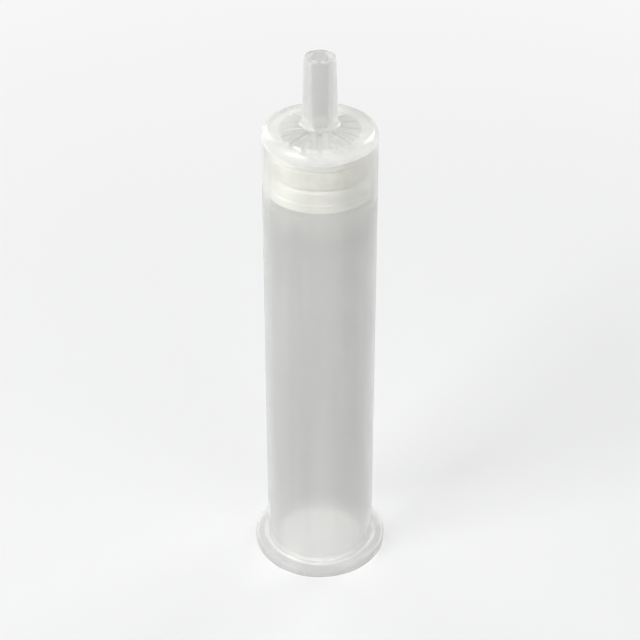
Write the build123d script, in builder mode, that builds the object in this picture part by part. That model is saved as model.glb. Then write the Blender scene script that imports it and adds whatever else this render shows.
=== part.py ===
"""Six millilitre disk-type solid phase extraction cartridge, standing on its mouth flange.

The cartridge is a moulded polypropylene syringe barrel: a round flange at the open
mouth, a long drafted reservoir, and a closed base that carries a Luer slip tip.
Two thin sorbent membranes lie on a ribbed drainage floor inside the base, with a
fibre prefilter on them, and a pressed-in ring holds the stack and leaves a window
10 mm across.

Frame: +Z runs along the axis from the mouth to the tip. The origin is the centre
of the flange's open face, on which the cartridge stands. Millimetres throughout.
"""

from build123d import *
import os
from math import pi, radians, tan

# Stack: the window sets the size of everything around it
active_diameter = 10.0  # window of the ring, and the drain chamber behind it
ring_wall = 1.43  # radial, window to outside of the ring
ring_fit = 0.02  # radial gap of the ring in its seat
ring_height = 3.0
ring_chamfer = 0.3  # leading outer edge of the ring
ring_bevel = 0.7  # inner edge of the ring on the reservoir side
groove_width = 0.9  # relief round the outside of the ring
groove_depth = 0.3
prefilter_thickness = 2.8
prefilter_clearance = 0.05  # radial, prefilter edge to seat bore
prefilter_round = 0.3
membrane_thickness = 0.5
membrane_clearance = 0.1  # radial, membrane edge to seat bore

# Barrel
wall = 0.85  # wall of the tube, the same at both ends
body_length = 67.0  # open face of the flange to the outer corner of the base
mouth_round = 0.35  # inner edge of the mouth
seat_step = 0.1  # radial step from the seat bore out to the reservoir bore
step_height = 0.5  # height of the cone between the two bores
seat_lead = 0.9  # straight seat bore left below the ring

# Mouth flange
flange_overhang = 1.8  # how far the flange stands out from the tube
flange_thickness = 1.4
flange_cove = 0.75  # concave fillet between tube and flange
rim_round = 0.4  # both outer edges of the flange

# Base and drainage floor
floor_thickness = 1.6  # seat ledge to the outer corner of the base
crown_angle = 8.0  # slope of the base's outer face and of the drain cone, degrees
base_round = 1.2  # outer corner of the base
chamber_depth = 0.6
rib_width = 0.6
rib_count = 8  # long ribs, with as many short ones between them
long_rib_start = 1.7  # radius where the long ribs begin
short_rib_start = 3.1  # radius where the short ribs begin

# Luer slip tip
tip_length = 9.0  # free length of the tapered cone
tip_end = 3.95  # diameter of the cone at its free end
luer_taper = 0.06  # change of diameter over length
tip_root_round = 0.6  # fillet between base and cone
tip_round = 0.2  # outer edge of the free end
drain_bore = 2.0

# Radii and heights that follow from them
window_radius = active_diameter / 2
ring_radius = window_radius + ring_wall
seat_radius = ring_radius + ring_fit
bore_radius = seat_radius + seat_step
tube_radius = bore_radius + wall
base_radius = seat_radius + wall
flange_radius = tube_radius + flange_overhang
drain_radius = drain_bore / 2
tip_end_radius = tip_end / 2
tip_root_radius = tip_end_radius + tip_length * luer_taper / 2

slope = tan(radians(crown_angle))
ledge = body_length - floor_thickness
chamber_roof = ledge + chamber_depth
drain_mouth = chamber_roof + (window_radius - drain_radius) * slope
crown_top = body_length + (base_radius - tip_root_radius) * slope
tip_top = crown_top + tip_length

upper_membrane_base = ledge - membrane_thickness
lower_membrane_base = upper_membrane_base - membrane_thickness
prefilter_base = lower_membrane_base - prefilter_thickness
ring_base = prefilter_base - ring_height
seat_base = ring_base - seat_lead
step_base = seat_base - step_height


def half_section(corners):
    """Closed section in the XZ plane; each corner is (radius, height, rounding)."""
    with BuildSketch(Plane.XZ) as section:
        with BuildLine():
            FilletPolyline(
                *[(radius, height) for radius, height, _ in corners],
                radius=[rounding for _, _, rounding in corners],
                close=True,
            )
        make_face()
    return section.sketch


# ---------------------------------------------------------------- barrel
with BuildPart() as barrel:
    # Outside: flange, drafted tube, crowned base and Luer cone
    outside = half_section(
        [
            (0, 0, 0),
            (flange_radius, 0, rim_round),
            (flange_radius, flange_thickness, rim_round),
            (tube_radius, flange_thickness, flange_cove),
            (base_radius, body_length, base_round),
            (tip_root_radius, crown_top, tip_root_round),
            (tip_end_radius, tip_top, tip_round),
            (0, tip_top, 0),
        ]
    )
    revolve(outside, axis=Axis.Z)
    # Inside: reservoir, step, seat, drain chamber and drain cone
    inside = half_section(
        [
            (0, 0, 0),
            (bore_radius, 0, 0),
            (bore_radius, step_base, 0),
            (seat_radius, seat_base, 0),
            (seat_radius, ledge, 0),
            (window_radius, ledge, 0),
            (window_radius, chamber_roof, 0),
            (drain_radius, drain_mouth, 0),
            (0, drain_mouth, 0),
        ]
    )
    revolve(inside, axis=Axis.Z, mode=Mode.SUBTRACT)
    # Ribs that carry the membranes over the drain chamber
    with BuildSketch(Plane.XY.offset(ledge)):
        for start, first_angle in (
            (long_rib_start, 0),
            (short_rib_start, 180 / rib_count),
        ):
            length = window_radius - start
            with PolarLocations(start + length / 2, rib_count, first_angle):
                Rectangle(length, rib_width)
    extrude(amount=drain_mouth - ledge)
    # Drain through the tip
    with Locations((0, 0, tip_top)):
        Hole(drain_radius, depth=tip_top - ledge)
    mouth_edge = barrel.faces().sort_by(Axis.Z)[0].inner_wires()[0].edges()
    fillet(mouth_edge, mouth_round)
barrel.part.label = "barrel"

# ---------------------------------------------------------------- membranes
def membrane(label, base):
    """One sorbent disk, with its lower face at the height base."""
    with BuildPart() as disk:
        with BuildSketch(Plane.XY.offset(base)):
            Circle(seat_radius - membrane_clearance)
        extrude(amount=membrane_thickness)
    disk.part.label = label
    return disk


upper_membrane = membrane("upper_membrane", upper_membrane_base)
lower_membrane = membrane("lower_membrane", lower_membrane_base)

# ---------------------------------------------------------------- prefilter
with BuildPart() as prefilter:
    with BuildSketch(Plane.XY.offset(prefilter_base)):
        Circle(seat_radius - prefilter_clearance)
    extrude(amount=prefilter_thickness)
    fillet(prefilter.edges(), prefilter_round)
prefilter.part.label = "prefilter"

# ---------------------------------------------------------------- retaining ring
with BuildPart() as retaining_ring:
    groove_radius = ring_radius - groove_depth
    groove_base = ring_base + (ring_height - groove_width) / 2
    ring_section = half_section(
        [
            (window_radius + ring_bevel, ring_base, 0),
            (ring_radius, ring_base, 0),
            (ring_radius, groove_base, 0),
            (groove_radius, groove_base, 0),
            (groove_radius, groove_base + groove_width, 0),
            (ring_radius, groove_base + groove_width, 0),
            (ring_radius, prefilter_base, 0),
            (window_radius, prefilter_base, 0),
            (window_radius, ring_base + ring_bevel, 0),
        ]
    )
    revolve(ring_section, axis=Axis.Z)
    leading_edge = retaining_ring.faces().sort_by(Axis.Z)[-1].outer_wire().edges()
    chamfer(leading_edge, ring_chamfer)
retaining_ring.part.label = "retaining_ring"

# ---------------------------------------------------------------- export
os.makedirs("parts", exist_ok=True)
for piece in (barrel, upper_membrane, lower_membrane, prefilter, retaining_ring):
    export_step(piece.part, f"parts/{piece.part.label}.step")

sample_volume = pi * bore_radius**2 * step_base / 1000  # millilitres
print(f"overall {tip_top:.2f} mm, flange {2 * flange_radius:.2f} mm, bore holds {sample_volume:.1f} mL")
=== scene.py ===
"""Looks of a six millilitre disk extraction cartridge: view, light, materials and meshes."""

import math

import bmesh
import bpy
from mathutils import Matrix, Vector, noise


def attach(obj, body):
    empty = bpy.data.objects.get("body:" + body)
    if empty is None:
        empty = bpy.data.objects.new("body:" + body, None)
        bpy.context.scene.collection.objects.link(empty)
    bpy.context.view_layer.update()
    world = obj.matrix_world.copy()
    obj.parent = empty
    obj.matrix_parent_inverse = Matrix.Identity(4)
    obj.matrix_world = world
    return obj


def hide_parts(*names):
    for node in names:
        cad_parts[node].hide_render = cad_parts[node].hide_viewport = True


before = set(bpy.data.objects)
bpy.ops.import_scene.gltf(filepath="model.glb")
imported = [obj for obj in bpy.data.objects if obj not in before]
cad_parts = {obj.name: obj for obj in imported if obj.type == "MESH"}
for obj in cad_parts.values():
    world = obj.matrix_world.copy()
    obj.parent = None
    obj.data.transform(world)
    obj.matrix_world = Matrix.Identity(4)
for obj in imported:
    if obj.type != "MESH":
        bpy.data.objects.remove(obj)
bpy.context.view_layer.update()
scene = bpy.context.scene
MM = 0.001

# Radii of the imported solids, in millimetres
BORE, SEAT, TUBE, BASE, FLANGE = 6.55, 6.45, 7.40, 7.30, 9.20
WINDOW, DRAIN, TIP_END, TIP_ROOT = 5.0, 1.0, 1.975, 2.245
RING, RING_GROOVE, RING_FLARE, PREFILTER, MEMBRANE = 6.43, 6.13, 5.7, 6.4, 6.35

# Heights above the floor, in millimetres
FLANGE_TOP, STEP_BASE, SEAT_BASE, LEDGE, ROOF, BODY = 1.4, 57.2, 57.7, 65.4, 66.0, 67.0
RING_BASE, FLARE_TOP, GROOVE_BASE, GROOVE_TOP, CHAMFER_BASE = 58.6, 59.3, 59.65, 60.55, 61.3
RING_TOP, PREFILTER_TOP = 61.6, 64.4
MEMBRANE_THICKNESS, TIP_LENGTH = 0.5, 9.0
SLOPE = math.tan(math.radians(8))
CROWN_TOP = BODY + (BASE - TIP_ROOT) * SLOPE
TIP_TOP = CROWN_TOP + TIP_LENGTH
DRAIN_MOUTH = ROOF + (WINDOW - DRAIN) * SLOPE


# ------------------------------------------------------------------ node helpers
def make(tree, kind, values=None, **settings):
    """A new shader node with its settings and plain socket values."""
    made = tree.nodes.new("ShaderNode" + kind)
    for key, value in settings.items():
        setattr(made, key, value)
    for key, value in (values or {}).items():
        made.inputs[key].default_value = value
    return made


def new_material(name):
    """A material with its node tree, its Principled shader and its output."""
    material = bpy.data.materials.new(name)
    material.use_nodes = True
    tree = material.node_tree
    return material, tree, tree.nodes["Principled BSDF"], tree.nodes["Material Output"]


def object_coordinates(tree, scale=(1, 1, 1)):
    """Object coordinates, scaled per axis."""
    where = make(tree, "TexCoord")
    mapping = make(tree, "Mapping", {"Scale": scale})
    tree.links.new(where.outputs["Object"], mapping.inputs["Vector"])
    return mapping.outputs[0]


def turned_place(tree):
    """Sockets with the height and the distance from the axis."""
    where = make(tree, "TexCoord")
    split = make(tree, "SeparateXYZ")
    flat = make(tree, "VectorMath", {1: (1, 1, 0)}, operation="MULTIPLY")
    radius = make(tree, "VectorMath", operation="LENGTH")
    tree.links.new(where.outputs["Object"], split.inputs[0])
    tree.links.new(where.outputs["Object"], flat.inputs[0])
    tree.links.new(flat.outputs[0], radius.inputs[0])
    return split.outputs["Z"], radius.outputs["Value"]


def noise_at(tree, vector, scale, detail=2.0, rough=0.5):
    """Noise with this many cells to a metre."""
    made = make(tree, "TexNoise", {"Scale": scale, "Detail": detail, "Roughness": rough})
    tree.links.new(vector, made.inputs["Vector"])
    return made.outputs["Fac"]


def remap(tree, value, span, result):
    """A number that runs over one span, stretched to another and held at its ends."""
    limits = {"From Min": span[0], "From Max": span[1], "To Min": result[0], "To Max": result[1]}
    made = make(tree, "MapRange", limits)
    tree.links.new(value, made.inputs["Value"])
    return made.outputs[0]


def step(tree, value, start, end):
    """Smoothly from 0 at one size to 1 at another, both in millimetres."""
    limits = {"From Min": start * MM, "From Max": end * MM}
    made = make(tree, "MapRange", limits, interpolation_type="SMOOTHSTEP")
    tree.links.new(value, made.inputs["Value"])
    return made.outputs[0]


def joined(tree, kind, first, second, node="Math"):
    """Two sockets through one node, a Math node unless another kind is named."""
    both = make(tree, node, operation=kind)
    tree.links.new(first, both.inputs[0])
    tree.links.new(second, both.inputs[1])
    return both.outputs[0]


def blend(tree, share, first, second):
    """A colour between two colours, by a linked share."""
    mix = make(tree, "Mix", data_type="RGBA")
    mix.inputs[6].default_value = (*first, 1)
    mix.inputs[7].default_value = (*second, 1)
    tree.links.new(share, mix.inputs[0])
    return mix.outputs[2]


def shaded(tree, colour, share):
    """A linked colour times a linked number."""
    scaled = make(tree, "VectorMath", operation="SCALE")
    tree.links.new(colour, scaled.inputs[0])
    tree.links.new(share, scaled.inputs["Scale"])
    return scaled.outputs[0]


def mixed(tree, share, first, second):
    """A shader between two shaders, by a linked share."""
    mix = make(tree, "MixShader")
    tree.links.new(share, mix.inputs[0])
    tree.links.new(first, mix.inputs[1])
    tree.links.new(second, mix.inputs[2])
    return mix.outputs[0]


def bump(tree, height, distance, strength=1.0, normal=None):
    """A normal raised by a height, over another normal where one is given."""
    made = make(tree, "Bump", {"Strength": strength, "Distance": distance})
    tree.links.new(height, made.inputs["Height"])
    if normal is not None:
        tree.links.new(normal, made.inputs["Normal"])
    return made.outputs[0]


def seen_directly(tree):
    """A socket that is 1 for what the camera sees, straight or in gloss or through plastic."""
    path = make(tree, "LightPath")
    total = path.outputs["Is Camera Ray"]
    for name in ("Is Glossy Ray", "Is Transmission Ray"):
        total = joined(tree, "MAXIMUM", total, path.outputs[name])
    return total


# ------------------------------------------------------------------ view
LENS, SENSOR = 100, 36  # millimetres
CAMERA_AIM = Vector((0, 0, 0.0380))
CAMERA_DISTANCE, CAMERA_ELEVATION = 0.236, math.radians(35)
LAMP_AIM = (0, 0, 0.035)
LAMPS = (  # name, place, side of the square and watts
    ("key", (-0.42, -0.30, 0.40), 0.32, 2.6),
    ("fill", (0.36, -0.44, 0.26), 0.45, 1.0),
    ("back_right", (0.38, 0.38, 0.36), 0.30, 1.35),
    ("back_left", (-0.34, 0.44, 0.28), 0.30, 0.85),
)
WHITE, SKY_TINT, FLOOR_GREY = (1, 1, 1, 1), (0.97, 0.98, 1.0, 1), (0.75, 0.75, 0.75, 1)
BACKDROP, SKYLIGHT, FLOOR_LIFT = 0.95, 0.28, 0.16  # strengths
FLOOR_HALF = 3.0  # metres
FADE_START, FADE_END = 80, 260  # millimetres from the axis


def aim(obj, target):
    """Turn an object so that its -Z axis points at a place."""
    obj.rotation_euler = (Vector(target) - obj.location).to_track_quat("-Z", "Y").to_euler()


def add_camera():
    """A camera in front that looks down on the cartridge."""
    data = bpy.data.cameras.new("camera")
    data.lens = LENS
    data.sensor_width = SENSOR
    camera = bpy.data.objects.new("camera", data)
    scene.collection.objects.link(camera)
    outward = Vector((0, -math.cos(CAMERA_ELEVATION), math.sin(CAMERA_ELEVATION)))
    camera.location = CAMERA_AIM + CAMERA_DISTANCE * outward
    aim(camera, CAMERA_AIM)
    scene.camera = camera


def add_lamp(name, place, side, watts):
    """A square soft box turned to the middle of the cartridge."""
    data = bpy.data.lights.new(name, "AREA")
    data.size = side
    data.energy = watts
    lamp = bpy.data.objects.new(name, data)
    lamp.location = place
    scene.collection.objects.link(lamp)
    aim(lamp, LAMP_AIM)


def add_world():
    """A soft sky for the object, and a white one for what the camera sees."""
    world = bpy.data.worlds.new("studio")
    scene.world = world
    world.use_nodes = True
    tree = world.node_tree
    tree.nodes.clear()
    out = make(tree, "OutputWorld")
    soft = make(tree, "Background", {"Color": SKY_TINT, "Strength": SKYLIGHT})
    white = make(tree, "Background", {"Color": WHITE, "Strength": BACKDROP})
    sky = mixed(tree, seen_directly(tree), soft.outputs[0], white.outputs[0])
    tree.links.new(sky, out.inputs[0])


def add_floor():
    """A pale floor that holds the shadow, and turns into the backdrop with no horizon."""
    mesh = bpy.data.meshes.new("floor")
    half = FLOOR_HALF
    corners = [(-half, -half, 0), (half, -half, 0), (half, half, 0), (-half, half, 0)]
    mesh.from_pydata(corners, [], [(0, 1, 2, 3)])
    floor = bpy.data.objects.new("floor", mesh)
    scene.collection.objects.link(floor)
    material, tree, shader, out = new_material("floor")
    tree.nodes.remove(shader)
    seen = seen_directly(tree)
    matte = make(tree, "BsdfDiffuse", {"Color": FLOOR_GREY})
    strength = make(tree, "Math", {1: FLOOR_LIFT}, operation="MULTIPLY")
    lift = make(tree, "Emission", {"Color": WHITE})
    near = make(tree, "AddShader")
    tree.links.new(seen, strength.inputs[0])
    tree.links.new(strength.outputs[0], lift.inputs["Strength"])
    tree.links.new(matte.outputs[0], near.inputs[0])
    tree.links.new(lift.outputs[0], near.inputs[1])
    place = make(tree, "TexCoord")
    reach = make(tree, "VectorMath", operation="LENGTH")
    tree.links.new(place.outputs["Object"], reach.inputs[0])
    fade = step(tree, reach.outputs["Value"], FADE_START, FADE_END)
    far = make(tree, "Emission", {"Color": WHITE, "Strength": BACKDROP})
    share = joined(tree, "MULTIPLY", fade, seen)
    surface = mixed(tree, share, near.outputs[0], far.outputs[0])
    tree.links.new(surface, out.inputs[0])
    mesh.materials.append(material)


add_camera()
for lamp in LAMPS:
    add_lamp(*lamp)
add_world()
add_floor()
scene.view_settings.view_transform = "Standard"
scene.cycles.max_bounces = 32  # light crosses many walls before it leaves clear plastic
scene.cycles.transmission_bounces = 24
scene.cycles.volume_bounces = 8
scene.cycles.diffuse_bounces = 8
scene.cycles.glossy_bounces = 8


# ------------------------------------------------------------------ materials
BARREL_IOR, RING_IOR = 1.49, 1.5
BARREL_ROUGHNESS, RING_ROUGHNESS = 0.20, 0.4
# The lighter tint round the packing is a painted glow, standing in for light that the packing
# scatters back into the wall
TUBE_TINT, PACKING_GLOW_TINT = (0.72, 0.725, 0.71), (0.84, 0.843, 0.82)
LIP_GLOW_TINT = (0.20, 0.195, 0.195)  # painted light added to the tube's tint on the flange, standing in for light scattered in the flange's edge
TUBE_CLEAR, PACKED_CLEAR = 0.81, 0.86  # how much of the wall is clear
FLANGE_THICK = 1.3  # the flange clouds this many times as much as the crown
THICK_CLOUD = 0.117  # clearness that is lost on the flange
HAZE = {"Color": (0.99, 0.99, 0.985, 1), "Density": 250, "Anisotropy": 0.3}
SHADOW_TINT = (0.97, 0.97, 0.97, 1)
RING_SHADE, RING_WHITE = (0.85, 0.845, 0.805), (0.915, 0.91, 0.875)
PREFILTER_CREAM, MEMBRANE_WHITE = (0.98, 0.96, 0.89), (0.97, 0.965, 0.945)
STRAND_GAP_PAINTED_SHADE = 0.77  # painted shade between the strands of a felt, darker where its bump is low


def tone(tree, stretch, scale, detail, span, darkest, rough=0.5):
    """A tone from darkest to 1 that follows noise; a small stretch draws it out along Z."""
    where = object_coordinates(tree, (1, 1, stretch))
    return remap(tree, noise_at(tree, where, scale, detail, rough), span, (darkest, 1))


def moulded_surface(tree, shader, roughness):
    """Satin moulded plastic: cloudy gloss, fine orange peel and lines drawn along Z."""
    where = object_coordinates(tree)
    streaks = object_coordinates(tree, (1, 1, 0.04))
    patches = noise_at(tree, where, scale=260, detail=3)
    rough = remap(tree, patches, (0.35, 0.7), (roughness - 0.03, roughness + 0.05))
    tree.links.new(rough, shader.inputs["Roughness"])
    peel = bump(tree, noise_at(tree, where, scale=900), distance=0.00001, strength=0.6)
    drawn = noise_at(tree, streaks, scale=2600)
    normal = bump(tree, drawn, distance=0.000006, strength=0.5, normal=peel)
    tree.links.new(normal, shader.inputs["Normal"])


def barrel_plastic():
    """Milky polypropylene, whiter where the moulding is thick, with a painted glow round the
    packing and a painted brightening on the flange.
    """
    material, tree, shader, out = new_material("barrel")
    shader.inputs["IOR"].default_value = BARREL_IOR
    moulded_surface(tree, shader, BARREL_ROUGHNESS)
    # Shares of 0 to 1 for the flange, the wall round the packing, where a glow is painted, and
    # the closed end
    height, radius = turned_place(tree)
    off_tip = step(tree, radius, TIP_ROOT, TIP_ROOT + 1.6)
    flange = step(tree, height, FLANGE_TOP + 1.2, FLANGE_TOP)
    # Painted glow: from just below the seat upward, round the packing, the wall is tinted
    # lighter as if lit by light scattered from the packing
    glow = step(tree, height, SEAT_BASE - 4.2, SEAT_BASE + 0.5)
    packing_glow_zone = joined(tree, "MULTIPLY", glow, off_tip)
    closed_end = step(tree, height, LEDGE - 0.6, ROOF + 0.2)
    crown = joined(tree, "MULTIPLY", closed_end, off_tip)
    # Tint, with a painted glow round the packing, a painted brightening on the flange, and soft
    # flow bands and fine lines along the tube
    tint = blend(tree, packing_glow_zone, TUBE_TINT, PACKING_GLOW_TINT)
    # Painted brightening: the flange is tinted lighter, standing in for light that enters and
    # scatters in its edge
    lip_glow = blend(tree, flange, (0, 0, 0), LIP_GLOW_TINT)
    tint = joined(tree, "ADD", tint, lip_glow, node="VectorMath")
    flow = tone(tree, 0.06, scale=320, detail=4, rough=0.55, span=(0.3, 0.7), darkest=0.91)
    lines = tone(tree, 0.015, scale=1500, detail=3, span=(0.35, 0.65), darkest=0.96)
    tint = shaded(tree, tint, joined(tree, "MULTIPLY", flow, lines))
    tree.links.new(tint, shader.inputs["Base Color"])
    # How much of the wall is clear
    thick_flange = remap(tree, flange, (0, 1), (0, FLANGE_THICK))
    thick = joined(tree, "ADD", crown, thick_flange)
    cloud = remap(tree, thick, (0, FLANGE_THICK), (0, THICK_CLOUD))
    clear = remap(tree, packing_glow_zone, (0, 1), (TUBE_CLEAR, PACKED_CLEAR))
    clear_share = joined(tree, "SUBTRACT", clear, cloud)
    tree.links.new(clear_share, shader.inputs["Transmission Weight"])
    # Shadow rays pass, so that the tube is lit inside and its shadow stays pale
    passing = make(tree, "BsdfTransparent", {"Color": SHADOW_TINT})
    path = make(tree, "LightPath")
    is_shadow = path.outputs["Is Shadow Ray"]
    surface = mixed(tree, is_shadow, shader.outputs[0], passing.outputs[0])
    tree.links.new(surface, out.inputs["Surface"])
    haze = make(tree, "VolumeScatter", HAZE)
    tree.links.new(haze.outputs[0], out.inputs["Volume"])
    return material


def ring_plastic():
    """Opaque white polyethylene, faintly cloudy, with a soft sheen."""
    material, tree, shader, out = new_material("ring")
    patches = noise_at(tree, object_coordinates(tree), scale=330, detail=3)
    clouds = remap(tree, patches, (0.38, 0.62), (0, 1))
    tint = blend(tree, clouds, RING_SHADE, RING_WHITE)
    tree.links.new(tint, shader.inputs["Base Color"])
    shader.inputs["IOR"].default_value = RING_IOR
    moulded_surface(tree, shader, RING_ROUGHNESS)
    return material


def white_fibre(name, colour, grain, depth):
    """A felted white: fine fibres with painted shade between them, uneven tone and no gloss."""
    material, tree, shader, out = new_material(name)
    flattened = object_coordinates(tree, (1, 1, 2.4))
    # The strand noise also raises the bump, so the painted shade falls in its hollows; the
    # clumps are tone that differs at random
    strands = noise_at(tree, flattened, scale=grain, detail=6, rough=0.7)
    shade = [c * STRAND_GAP_PAINTED_SHADE for c in colour]
    fine = blend(tree, remap(tree, strands, (0.35, 0.6), (0, 1)), shade, colour)
    clumps = tone(tree, 1, scale=520, detail=3, rough=0.6, span=(0.35, 0.65), darkest=0.90)
    tree.links.new(shaded(tree, fine, clumps), shader.inputs["Base Color"])
    shader.inputs["Roughness"].default_value = 0.9
    shader.inputs["Specular IOR Level"].default_value = 0.2
    where = object_coordinates(tree)
    hairs = noise_at(tree, where, scale=grain * 2.5, detail=4, rough=0.6)
    fuzz = bump(tree, hairs, distance=depth / 2, strength=0.6)
    normal = bump(tree, strands, distance=depth, strength=0.8, normal=fuzz)
    tree.links.new(normal, shader.inputs["Normal"])
    return material


# ------------------------------------------------------------------ turned shapes
ON_AXIS = 1e-6  # a radius below this is on the axis
MARGIN = 0.08  # width of the first and last strip of a straight run, in millimetres
RIM_START, RIM_WIDTH = 5.6, 0.6  # where a felt disk's rim roughens, and over what width
RIB_ROWS = ((1.7, 0.0), (3.1, 22.5))  # for each row, where its ribs start and its first angle
RIBS_IN_ROW, RIB_HALF_WIDTH = 8, 0.3
WALL_OVERLAP, ROOF_OVERLAP, LEDGE_GAP = 0.2, 0.3, 0.01  # of the ribs, in millimetres
RIB_FACES = (  # of the corners of a rib, the four below and then the four above
    (3, 2, 1, 0),
    (4, 5, 6, 7),
    (0, 1, 5, 4),
    (1, 2, 6, 5),
    (2, 3, 7, 6),
    (3, 0, 4, 7),
)


def outline(corners, turn=math.radians(10), longest=2.5):
    """Points round a closed section; each corner is (radius, height, rounding).

    A rounding has a point at least every turn, and a straight run every longest millimetres.
    """
    count = len(corners)
    arcs = []
    for i, (r, z, rounding) in enumerate(corners):
        here = Vector((r, z))
        if not rounding:
            arcs.append([here])
            continue
        back = (Vector(corners[i - 1][:2]) - here).normalized()
        ahead = (Vector(corners[(i + 1) % count][:2]) - here).normalized()
        half = back.angle(ahead) / 2
        reach = rounding / math.tan(half)
        centre = here + (back + ahead).normalized() * (rounding / math.sin(half))
        first = here + back * reach - centre
        last = here + ahead * reach - centre
        swept = math.pi - 2 * half
        steps = max(3, math.ceil(swept / turn))
        arc = []
        for k in range(steps + 1):
            a = math.sin(swept * (1 - k / steps))
            b = math.sin(swept * k / steps)
            arc.append(centre + (first * a + last * b) / math.sin(swept))
        arcs.append(arc)
    path = []
    for i, arc in enumerate(arcs):
        path += arc
        start, end = arc[-1], arcs[(i + 1) % count][0]
        if start.x < ON_AXIS and end.x < ON_AXIS:
            continue
        run = end - start
        margin = min(MARGIN, run.length / 4)
        inner = run.length - 2 * margin
        pieces = max(1, math.ceil(inner / longest))
        for k in range(pieces + 1):
            path.append(start + run.normalized() * (margin + inner * k / pieces))
    return path


def turned(name, corners, segments=128, **spacing):
    """A closed body made by turning a closed section about Z."""
    mesh = bpy.data.meshes.new(name)
    bm = bmesh.new()
    circles = []
    for point in outline(corners, **spacing):
        radius, height = point.x * MM, point.y * MM
        if point.x < ON_AXIS:
            circles.append([bm.verts.new((0, 0, height))])
            continue
        circle = []
        for k in range(segments):
            angle = math.tau * k / segments
            place = (radius * math.cos(angle), radius * math.sin(angle), height)
            circle.append(bm.verts.new(place))
        circles.append(circle)
    for i, circle in enumerate(circles):
        after = circles[(i + 1) % len(circles)]
        if len(circle) == 1 and len(after) == 1:
            continue
        for k in range(segments):
            places = ((circle, k), (circle, k + 1), (after, k + 1), (after, k))
            face = [points[at % len(points)] for points, at in places]
            bm.faces.new(list(dict.fromkeys(face)))
    bmesh.ops.recalc_face_normals(bm, faces=bm.faces)
    bm.to_mesh(mesh)
    bm.free()
    mesh.polygons.foreach_set("use_smooth", [True] * len(mesh.polygons))
    mesh.set_sharp_from_angle(angle=math.radians(40))
    obj = bpy.data.objects.new(name, mesh)
    scene.collection.objects.link(obj)
    return obj


def add_ribs(barrel):
    """Join the drain ribs to the barrel as one body, sunk a little into its roof and wall."""
    mesh = bpy.data.meshes.new("ribs")
    bm = bmesh.new()
    end = WINDOW + WALL_OVERLAP
    for start, first in RIB_ROWS:
        for k in range(RIBS_IN_ROW):
            angle = math.radians(first + 360 / RIBS_IN_ROW * k)
            along = Vector((math.cos(angle), math.sin(angle), 0))
            across = Vector((-along.y, along.x, 0)) * RIB_HALF_WIDTH
            sides = ((start, -1), (end, -1), (end, 1), (start, 1))
            below = [(r, side, LEDGE + LEDGE_GAP) for r, side in sides]
            above = [(r, side, ROOF + (WINDOW - r) * SLOPE + ROOF_OVERLAP) for r, side in sides]
            made = []
            for r, side, z in below + above:
                place = along * r + across * side
                made.append(bm.verts.new((place.x * MM, place.y * MM, z * MM)))
            for face in RIB_FACES:
                bm.faces.new([made[v] for v in face])
    bmesh.ops.recalc_face_normals(bm, faces=bm.faces)
    bm.to_mesh(mesh)
    bm.free()
    ribs = bpy.data.objects.new("ribs", mesh)
    scene.collection.objects.link(ribs)
    union = barrel.modifiers.new("ribs", "BOOLEAN")
    union.operation = "UNION"
    union.solver = "EXACT"
    union.object = ribs
    bpy.context.view_layer.update()
    with_ribs = barrel.evaluated_get(bpy.context.evaluated_depsgraph_get())
    whole = bpy.data.meshes.new_from_object(with_ribs)
    barrel.modifiers.clear()
    barrel.data = whole
    bpy.data.objects.remove(ribs)


def held(value):
    """A number kept between 0 and 1."""
    return max(0.0, min(1.0, value))


def felted(obj, low, high, depth, drop):
    """Roughen a turned disk inward: its rim by depth and its faces by drop, in millimetres."""
    middle = (low + high) / 2
    for vertex in obj.data.vertices:
        place = vertex.co / MM
        radius = math.hypot(place.x, place.y)
        rim = held((radius - RIM_START) / RIM_WIDTH)
        # The rim follows coarse and fine noise, and each face has hollows of its own
        clumps = noise.noise(place * 0.9)
        fibres = noise.noise(place * 2.3 + Vector((7, 3, 1)))
        fuzz = held(0.5 + 0.32 * clumps + 0.25 * fibres)
        face_seed = 14 if place.z > middle else 5
        hollows = noise.noise(Vector((place.x * 0.6, place.y * 0.6, face_seed)))
        sag = held(0.5 + 0.5 * hollows)
        shrink = 1 - rim * depth * fuzz / max(1.0, radius)
        lift = drop * sag * (middle - place.z) / (high - middle)
        vertex.co = Vector((place.x * shrink, place.y * shrink, place.z + lift)) * MM


def disk_section(radius, low, high, rounding):
    """The corners of a solid disk's section, with a rounded rim."""
    return [(0, low, 0), (radius, low, rounding), (radius, high, rounding), (0, high, 0)]


# ------------------------------------------------------------------ pieces
def stand_for(piece, node, material):
    """Let a piece take the place of one solid of the frame."""
    piece.data.materials.clear()
    piece.data.materials.append(material)
    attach(piece, "root")
    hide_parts(node)


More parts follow.
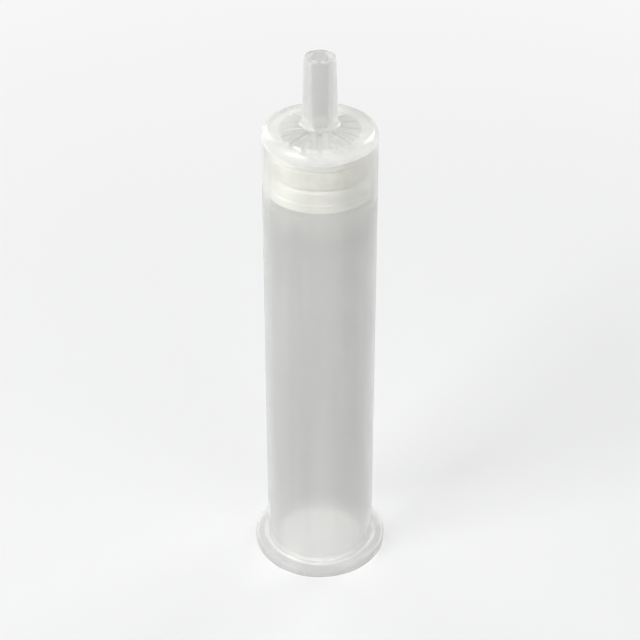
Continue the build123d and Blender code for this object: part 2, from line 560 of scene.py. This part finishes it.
barrel = turned(
    "barrel_moulding",
    [
        (BORE, 0, 0.35),
        (FLANGE, 0, 0.4),
        (FLANGE, FLANGE_TOP, 0.4),
        (TUBE, FLANGE_TOP, 0.75),
        (BASE, BODY, 1.2),
        (TIP_ROOT, CROWN_TOP, 0.6),
        (TIP_END, TIP_TOP, 0.2),
        (DRAIN, TIP_TOP, 0.08),
        (DRAIN, DRAIN_MOUTH, 0.1),
        (WINDOW, ROOF, 0.08),
        (WINDOW, LEDGE, 0.08),
        (SEAT, LEDGE, 0.08),
        (SEAT, SEAT_BASE, 0),
        (BORE, STEP_BASE, 0),
    ],
    segments=160,
)
add_ribs(barrel)
stand_for(barrel, "barrel", barrel_plastic())

ring = turned(
    "ring_moulding",
    [
        (RING_FLARE, RING_BASE, 0.05),
        (RING, RING_BASE, 0.08),
        (RING, GROOVE_BASE, 0.05),
        (RING_GROOVE, GROOVE_BASE, 0.05),
        (RING_GROOVE, GROOVE_TOP, 0.05),
        (RING, GROOVE_TOP, 0.05),
        (RING, CHAMFER_BASE, 0.05),
        (RING_GROOVE, RING_TOP, 0.05),
        (WINDOW, RING_TOP, 0.08),
        (WINDOW, FLARE_TOP, 0.1),
    ],
)
stand_for(ring, "retaining_ring", ring_plastic())

pad_section = disk_section(PREFILTER, RING_TOP, PREFILTER_TOP, rounding=0.3)
pad = turned("prefilter_disk", pad_section, longest=0.4)
felted(pad, RING_TOP, PREFILTER_TOP, depth=0.22, drop=0.14)
cream = white_fibre("prefilter", PREFILTER_CREAM, grain=1100, depth=0.00015)
stand_for(pad, "prefilter", cream)

paper = white_fibre("membrane", MEMBRANE_WHITE, grain=2600, depth=0.00002)
upper_base = PREFILTER_TOP + MEMBRANE_THICKNESS
for name, base in (("upper_membrane", upper_base), ("lower_membrane", PREFILTER_TOP)):
    top = base + MEMBRANE_THICKNESS
    sheet = turned(name + "_disk", disk_section(MEMBRANE, base, top, rounding=0.12), longest=0.8)
    felted(sheet, base, top, depth=0.10, drop=0.03)
    stand_for(sheet, name, paper)
